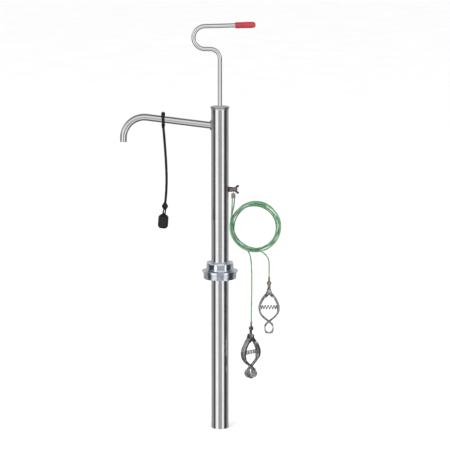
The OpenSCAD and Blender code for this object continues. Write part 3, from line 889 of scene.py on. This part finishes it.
def make_clamp(which):
    """Builds one clamp and returns the pieces that its wire carries."""
    number = which + 1
    look = f"clamp_{number}"
    place = on_wire(which)
    pivot = at_pivot(which)

    def place_piece(part, pieces, matrix, body="tube", look=look):
        piece = move(join(f"clamp_{number}_{part}_body", pieces), matrix)
        return dress(piece, look, body, [f"clamp_{number}_{part}"])

    tongue = move(prism("tongue", LUG_TONGUE, -LUG_T / 2, LUG_T / 2, 0.15, [(0, LUG_HOLE_Z, 1.5)]), UPRIGHT)
    barrel = lathe("barrel", LUG_BARREL, 32)
    lug = place_piece("lug", [barrel, tongue], place, look="copper")
    along_y = shift(0, 0, LUG_HOLE_Z) @ turn(-90, "X")
    screw = place_piece("screw", screw_pieces(), place @ along_y)
    holes = [(0, LUG_HOLE_Z, 1.5), (0, PIVOT_Z, 1.5)]
    plate = prism("link", LINK, -LINK_T / 2, LINK_T / 2, 0.25, holes)
    link = place_piece("link", [plate], place @ shift(0, (LUG_T + LINK_T) / 2, 0) @ UPRIGHT)
    place_piece("pin", [lathe("pin", PIN, 32)], pivot @ turn(-90, "X"))
    place_piece("arm_left", arm_pieces(False), pivot)
    place_piece("arm_right", arm_pieces(True), pivot, f"clamp_{number}_arm")
    coil = sweep("coil", spring_line(), lambda i: circle(SPRING_WIRE_R * MM, 12), side=(1, 0, 0))
    spring = place_piece("spring", [coil], pivot @ shift(0, 0, SPRING_Z), look="spring")
    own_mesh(spring)
    return [lug, screw, link]


# ---------- Cords ----------

COIL_CENTRE = np.array([64.205, 0, 84]) * MM

# The routes' points from part.scad, in metres once scaled
LEAD_ROUTES = (
    [[22.4, 0, 138], [22.4, -0.2, 134], [22.2, -1.6, 127], [21.8, -4, 119], [21, -6.8, 111],
     [20.2, -8.8, 103], [19.4, -9.6, 95]],
    [[26.4, 0, 138], [26.4, 0.2, 134], [25.8, 1.6, 127], [24.6, 4, 119], [22.8, 6.8, 111],
     [21.2, 8.8, 103], [20, 9.6, 95]],
)
TAIL_ROUTES = (
    [[66, -1.4, 41], [74, -1.4, 39.5], [81, -1.4, 35.5], [86.5, -1.4, 29], [89.5, -1.4, 21],
     [90, -1.4, 12], [90, -1.4, 2], [90, -1.4, -8]],
    [[47.5, 1.4, 43], [52, 1.4, 38], [55, 1.4, 31], [56.7, 1.4, 23], [57.5, 1.4, 14],
     [58, 1.4, 2], [58.2, 1.4, -14], [58.2, 1.4, -32], [58, 1.4, -50], [57.8, 1.4, -66],
     [57.5, 1.4, -80], [57.5, 1.4, -93]],
)
TETHER_ROUTE = [
    [-102.7, 0, 273], [-102.3, 0, 265], [-101.2, 0, 252], [-100, 0, 236], [-98.8, 0, 218],
    [-97.8, 0, 200], [-97.2, 0, 182], [-97.2, 0, 166], [-97.8, 0, 150], [-98.8, 0, 138],
    [-99.8, 0, 128],
]
# Whole turns of each coil, and a part of one more
COIL_TURNS = 3
# How the turns of each coil wander: how far off centre, how fast that turns, and its start
COIL_WANDER = ((4.3 * MM, 0.78, 0.6), (4.3 * MM, 1.21, 3.4))
COIL_STEPS = 40


def coil_turns(start, end, wander):
    """The coil's loose turns, from start round to end, each off the last's centre."""
    first, last = (np.array(p) - COIL_CENTRE for p in (start, end))
    begin = math.atan2(first[2], first[0]) % (2 * math.pi)
    finish = math.atan2(last[2], last[0]) % (2 * math.pi) + COIL_TURNS * 2 * math.pi
    reach, pace, phase = wander
    count = int(COIL_STEPS * (finish - begin) / (2 * math.pi))
    radii = np.hypot(first[0], first[2]), np.hypot(last[0], last[2])
    line = []
    for i in range(1, count):
        t = i / count
        a = begin + (finish - begin) * t
        loose = math.sin(math.pi * t) ** 0.6
        r = radii[0] + (radii[1] - radii[0]) * t + loose * reach * (math.cos(pace * a + phase) - 0.6)
        y = first[1] + (last[1] - first[1]) * t
        line.append(COIL_CENTRE + [r * math.cos(a), y, r * math.sin(a)])
    return line


def make_wire(which):
    lead = np.array(LEAD_ROUTES[which]) * MM
    tail = np.array(TAIL_ROUTES[which]) * MM
    turns = coil_turns(lead[-1], tail[0], COIL_WANDER[which])
    line = smooth_line([*lead, *turns, *tail], 3)
    number = which + 1
    curve = bpy.data.curves.new(f"ground_wire_{number}", "CURVE")
    curve.dimensions = "3D"
    curve.bevel_depth = WIRE_D / 2 * MM
    curve.bevel_resolution = 4
    spline = curve.splines.new("POLY")
    spline.points.add(len(line) - 1)
    spline.points.foreach_set("co", np.hstack([line, np.ones((len(line), 1))]).ravel())
    wire = bpy.data.objects.new(f"ground_wire_{number}", curve)
    SCENE.collection.objects.link(wire)
    curve.materials.append(LOOKS["wire"])
    wire.visible_glossy = False
    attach(wire, "tube")
    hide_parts(*(f"wire_{part}_{number}" for part in ("lead", "coil", "tail")))
    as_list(make_clamp(which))


for which in range(2):
    make_wire(which)


# ---------- Tether and spout cap ----------

LOOP_X = -102.7
# The loop round the spout, from its foot up one side to the top: up from the pipe's axis, and across
LOOP_HALF = [
    [-15.5, 0.9], [-12.6, 1.9], [-9.8, 4.3], [-6.2, 6.8], [-1.8, 8.5], [2.6, 8.6], [6.6, 6.8], [9.2, 3.8],
    [10.2, 0],
]
BEAD_CENTRE = Vector((-100.3, 0, 123))
BEAD = [
    (0, 7), (2.3, 6.9), (3, 5.4), (4.5, 3.2), (5.8, 0.8), (5.8, -0.8), (4.8, -3), (3.2, -5), (2.4, -6.4),
    (0, -6.6),
]
CAP_X = -101.6
CAP_FLATS = flats(corner_r=9.35, sides=8, low=83, high=106.4, chamfer=2.6, bulge=0.3, slope=0.8)
CAP_TILT = 4
SHANK_SPREAD = 1.9
SHANK_R = 1.3
KNOT_Z = 270.2


def make_loop():
    """The moulded eye that stands on the spout, thick on top and drawn together under the pipe."""
    other_half = [[up, -across] for up, across in reversed(LOOP_HALF[:-1])]
    line = smooth_line([[up, across, 0] for up, across in LOOP_HALF + other_half], 5)

    def section(i):
        return circle((2.7 + 0.9 * eased(line[i][0], 3, 9.5)) * MM, 18)

    axis_z = SPOUT_Z + (-LOOP_X - TUBE_R) * math.tan(SPOUT_RISE)
    loop = move(sweep("eye", line * MM, section, side=(0, 0, 1)), shift(LOOP_X, 0, axis_z) @ turn(-90, "Y"))
    collar = [(0, -4.6), (2.2, -4.4), (2.5, -2), (3.3, 1), (3.6, 3.4), (0, 3.8)]
    knot = move(lathe("knot", collar, 32, sharp=70), shift(LOOP_X, 0, KNOT_Z))
    dress(join("tether_eye", [loop, knot]), "rubber", "tube", ["tether_loop"])


def cap_outline(angle):
    return [
        (6.3, 82.9), (6.5, 82.7), (6.7, 82.7), *CAP_FLATS(angle), (5.4, 107.4), (3.8, 108.2), (2.9, 109.3),
        (2.4, 110.6), (0, 111), (0, 104), (6.3, 104),
    ]


def make_cap():
    """The faceted plug that pushes over the outlet, hung on two thin shanks."""
    plug = move(lathe("plug", cap_outline, 128), shift(0, 0, -BEAD_CENTRE.z))
    pieces = [move(plug, shift(CAP_X, 0, BEAD_CENTRE.z) @ turn(CAP_TILT, "Y"))]
    for side in (-1, 1):
        foot_x = CAP_X + side * SHANK_SPREAD
        points = [[foot_x - 0.6, 0, 108], [foot_x, 0, 112], [BEAD_CENTRE.x + side * 1.6, 0, 119]]
        shank = sweep("shank", smooth_line(points, 6) * MM, lambda i: circle(SHANK_R * MM, 12))
        pieces.append(shank)
    return dress(join("cap_plug", pieces), "rubber", "tube", ["spout_cap"])


def make_tether():
    line = smooth_line(TETHER_ROUTE, 6) * MM
    strand = sweep("tether_strand", line, lambda i: circle(TETHER_D / 2 * MM, 16))
    dress(strand, "rubber", "tube", ["tether"])
    bead = move(lathe("bead", BEAD, 40, sharp=70), shift(*BEAD_CENTRE))
    dress(bead, "rubber", "tube", ["tether_bead"])
    make_cap()


make_loop()
make_tether()


# ---------- Stage and light ----------


def make_floor():
    low = CAD_BOX[0].z
    size = 12
    floor = add_mesh(
        "floor", [(-size, -size, low), (size, -size, low), (size, size, low), (-size, size, low)],
        [(0, 1, 2, 3)],
    )
    look = Look("pale_floor", roughness=0.8)
    look.colour(look.ramp(look.noise(0.15), (0.3, 0.87), (0.7, 0.9)))
    floor.data.materials.append(look.material)
    floor.visible_glossy = False


# The studio as polished metal sees it: a grey room with soft-edged panels, light ones and black flags.
# A panel is its middle and width in degrees and its brightness. Round Z, the front is 0 and the +X side
# is positive. Over the top, the front is 0, overhead is 90 and the floor is -90.
ROUND_ROOM = 0.45
ROUND_EDGE = 5
ROUND_PANELS = ((-80, 20, 0.06), (-40, 30, 1.4), (40, 20, 1.4), (80, 40, 0.06))
OVER_ROOM = 0.15
OVER_EDGE = 20
OVER_PANELS = ((0, 100, 1.0), (150, 20, 0.8))
# Brightness of the plain white studio that everything else sees
PLAIN_LIGHT = 1.14
# How high a reflection points, level ones being near LEVEL_Z, decides between the two sets of panels:
# those round Z up to the first of LEVEL_HALF from it, those over the top from the second
LEVEL_Z = -0.17
LEVEL_HALF = (0.12, 0.42)


def panel_stops(room, edge, panels):
    """Brightness by angle: the room's, but for each panel's over its width."""
    stops = [(-180, room)]
    for middle, width, value in panels:
        low, high = middle - width / 2, middle + width / 2
        stops += [(low - edge, room), (low, value), (high, value), (high + edge, room)]
    return [*stops, (180, room)]


def make_world():
    """White all round, but polished metal reflects the grey room and its panels."""
    world = bpy.data.worlds.new("studio")
    world.use_nodes = True
    SCENE.world = world
    tree = world.node_tree
    nodes, links = tree.nodes, tree.links
    nodes.clear()
    coords = nodes.new("ShaderNodeTexCoord")
    split = nodes.new("ShaderNodeSeparateXYZ")
    links.new(coords.outputs["Generated"], split.inputs[0])

    def maths(operation, first, second=None):
        node = nodes.new("ShaderNodeMath")
        node.operation = operation
        for socket, value in zip(node.inputs, (first, second)):
            if isinstance(value, (int, float)):
                socket.default_value = value
            elif value:
                links.new(value, socket)
        return node.outputs[0]

    def ranged(value, low, high):
        span = nodes.new("ShaderNodeMapRange")
        span.interpolation_type = "SMOOTHSTEP" if high - low < 1 else "LINEAR"
        span.inputs["From Min"].default_value = low
        span.inputs["From Max"].default_value = high
        links.new(value, span.inputs["Value"])
        return span.outputs["Result"]

    top = max(value for _, _, value in ROUND_PANELS)

    def banded(angle, stops):
        ramp = nodes.new("ShaderNodeValToRGB")
        elements = ramp.color_ramp.elements
        while len(elements) < len(stops):
            elements.new(0.5)
        for element, (degrees, value) in zip(elements, stops):
            element.position = (degrees + 180) / 360
            element.color = (value / top,) * 3 + (1,)
        links.new(ranged(angle, -math.pi, math.pi), ramp.inputs["Fac"])
        return ramp.outputs["Color"]

    front = maths("MULTIPLY", split.outputs["Y"], -1)
    round_stops = panel_stops(ROUND_ROOM, ROUND_EDGE, ROUND_PANELS)
    over_stops = panel_stops(OVER_ROOM, OVER_EDGE, OVER_PANELS)
    round_z = banded(maths("ARCTAN2", split.outputs["X"], front), round_stops)
    over = banded(maths("ARCTAN2", split.outputs["Z"], front), over_stops)
    away = maths("ABSOLUTE", maths("SUBTRACT", split.outputs["Z"], LEVEL_Z))
    mix = nodes.new("ShaderNodeMix")
    mix.data_type = "RGBA"
    links.new(ranged(away, *LEVEL_HALF), mix.inputs["Factor"])
    links.new(round_z, mix.inputs[6])
    links.new(over, mix.inputs[7])
    shiny = nodes.new("ShaderNodeBackground")
    shiny.inputs["Strength"].default_value = top
    links.new(mix.outputs[2], shiny.inputs["Color"])
    plain = nodes.new("ShaderNodeBackground")
    plain.inputs["Color"].default_value = (1, 1, 1, 1)
    plain.inputs["Strength"].default_value = PLAIN_LIGHT
    rays = nodes.new("ShaderNodeLightPath")
    choose = nodes.new("ShaderNodeMixShader")
    links.new(rays.outputs["Is Glossy Ray"], choose.inputs["Fac"])
    links.new(plain.outputs[0], choose.inputs[1])
    links.new(shiny.outputs[0], choose.inputs[2])
    out = nodes.new("ShaderNodeOutputWorld")
    links.new(choose.outputs[0], out.inputs["Surface"])


def area_light(name, place, aim, size, watts):
    data = bpy.data.lights.new(name, "AREA")
    data.shape = "RECTANGLE"
    data.size, data.size_y = size
    data.energy = watts
    light = bpy.data.objects.new(name, data)
    SCENE.collection.objects.link(light)
    light.location = place
    light.rotation_euler = (Vector(aim) - Vector(place)).to_track_quat("-Z", "Y").to_euler()
    light.visible_glossy = False


make_floor()
make_world()
area_light("key", (-1.6, -2.4, 2.2), (0, 0, 0.1), (1.6, 1.6), 60)
area_light("fill", (2.2, -1.8, 1.2), (0, 0, 0.1), (1.2, 1.6), 18)
SCENE.view_settings.view_transform = "Standard"
